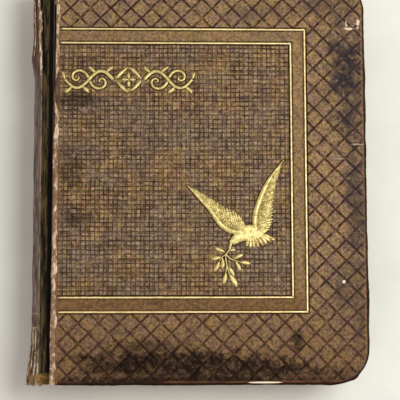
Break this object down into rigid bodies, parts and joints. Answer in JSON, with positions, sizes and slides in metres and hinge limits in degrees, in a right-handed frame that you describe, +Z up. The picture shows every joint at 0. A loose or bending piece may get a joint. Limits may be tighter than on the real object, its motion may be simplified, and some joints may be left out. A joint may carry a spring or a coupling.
{
  "type": "bible",
  "caption": "Closed cloth-bound Bible with a gilt dove and rules: boards, rounded spine and sewn sections, whose covers and opening leaves turn.",
  "frame": {"origin": "middle of the closed book's footprint, at the back cover's outer face", "axes": "+X from the spine to the fore-edge, +Y from the tail to the head, +Z up from the back cover to the front cover"},
  "size_m": [0.1947, 0.238, 0.0481],
  "materials": {
    "cover_cloth": "brown book cloth, blind-stamped, worn",
    "spine_cloth": "darkened book cloth, split at the head and tail",
    "board": "grey-brown millboard",
    "card": "thin brown card",
    "page": "aged cream paper",
    "endpaper": "plain toned endpaper",
    "gilt": "gold blocking, rubbed",
    "mull": "open-weave lining cloth",
    "kraft": "brown lining paper",
    "tape": "linen tape",
    "band": "worn red and cream sewn band",
    "thread": "linen thread"
  },
  "bodies": {
    "text_block": {"back_flyleaf": "endpaper", "headband": "band", "kettle_stitches": "thread", "opening_folds": "page", "section_01": "page", "section_02": "page", "section_03": "page", "section_04": "page", "section_05": "page", "section_06": "page", "section_07": "page", "section_08": "page", "section_09": "page", "section_10": "page", "section_11": "page", "section_12": "page", "section_13": "page", "section_14": "page", "section_15": "page", "section_16": "page", "section_17": "page", "section_18": "page", "section_19": "page", "section_20": "page", "section_21": "page", "section_22": "page", "sewing_tapes": "tape", "spine_card": "card", "spine_cloth": "spine_cloth", "spine_gilt_rules": "gilt", "spine_lining": "kraft", "spine_mull": "mull", "tailband": "band"},
    "front_cover": {"front_board": "board", "front_cover_cloth": "cover_cloth", "front_mull_flange": "mull", "front_board_infill": "card", "front_pastedown": "endpaper", "gilt_outer_rule": "gilt", "gilt_inner_rule": "gilt", "gilt_dove": "gilt", "gilt_olive_sprig": "gilt", "gilt_scroll": "gilt"},
    "back_cover": {"back_board": "board", "back_cover_cloth": "cover_cloth", "back_mull_flange": "mull", "back_board_infill": "card", "back_pastedown": "endpaper"},
    "flyleaf": {"front_flyleaf": "endpaper"},
    "title_leaf_body": {"title_leaf": "page"},
    "leaves_1": {"leaf_group_1": "page"},
    "leaves_2": {"leaf_group_2": "page"},
    "leaves_3": {"leaf_group_3": "page"},
    "leaves_4": {"leaf_group_4": "page"},
    "leaves_5": {"leaf_group_5": "page"},
    "leaves_6": {"leaf_group_6": "page"}
  },
  "joints": [
    {"name": "front_cover_hinge", "type": "hinge", "parent": "text_block", "child": "front_cover", "pos_m": [-0.0842, 0, 0.04587], "axis": [0, -1, 0], "range_deg": [0, 178]},
    {"name": "back_cover_hinge", "type": "hinge", "parent": "text_block", "child": "back_cover", "pos_m": [-0.0842, 0, 0.00213], "axis": [0, 1, 0], "range_deg": [0, 179.5]},
    {"name": "flyleaf_turn", "type": "hinge", "parent": "text_block", "child": "flyleaf", "pos_m": [-0.0842, 0, 0.04587], "axis": [0, -1, 0], "range_deg": [0, 170.2]},
    {"name": "title_leaf_body_turn", "type": "hinge", "parent": "text_block", "child": "title_leaf_body", "pos_m": [-0.0842, 0, 0.04587], "axis": [0, -1, 0], "range_deg": [0, 155.8]},
    {"name": "leaves_1_turn", "type": "hinge", "parent": "text_block", "child": "leaves_1", "pos_m": [-0.0842, 0, 0.04587], "axis": [0, -1, 0], "range_deg": [0, 137.8]},
    {"name": "leaves_2_turn", "type": "hinge", "parent": "text_block", "child": "leaves_2", "pos_m": [-0.0842, 0, 0.04587], "axis": [0, -1, 0], "range_deg": [0, 116.2]},
    {"name": "leaves_3_turn", "type": "hinge", "parent": "text_block", "child": "leaves_3", "pos_m": [-0.0842, 0, 0.04587], "axis": [0, -1, 0], "range_deg": [0, 92.8]},
    {"name": "leaves_4_turn", "type": "hinge", "parent": "text_block", "child": "leaves_4", "pos_m": [-0.0842, 0, 0.04587], "axis": [0, -1, 0], "range_deg": [0, 69.4]},
    {"name": "leaves_5_turn", "type": "hinge", "parent": "text_block", "child": "leaves_5", "pos_m": [-0.0842, 0, 0.04587], "axis": [0, -1, 0], "range_deg": [0, 46]},
    {"name": "leaves_6_turn", "type": "hinge", "parent": "text_block", "child": "leaves_6", "pos_m": [-0.0842, 0, 0.04587], "axis": [0, -1, 0], "range_deg": [0, 22.6]}
  ],
  "couplings": [
    {"joint": "flyleaf_turn", "follows": "front_cover_hinge", "ratio": 0.94},
    {"joint": "title_leaf_body_turn", "follows": "front_cover_hinge", "ratio": 0.86},
    {"joint": "leaves_1_turn", "follows": "front_cover_hinge", "ratio": 0.76},
    {"joint": "leaves_2_turn", "follows": "front_cover_hinge", "ratio": 0.64},
    {"joint": "leaves_3_turn", "follows": "front_cover_hinge", "ratio": 0.51},
    {"joint": "leaves_4_turn", "follows": "front_cover_hinge", "ratio": 0.38},
    {"joint": "leaves_5_turn", "follows": "front_cover_hinge", "ratio": 0.25},
    {"joint": "leaves_6_turn", "follows": "front_cover_hinge", "ratio": 0.12}
  ]
}
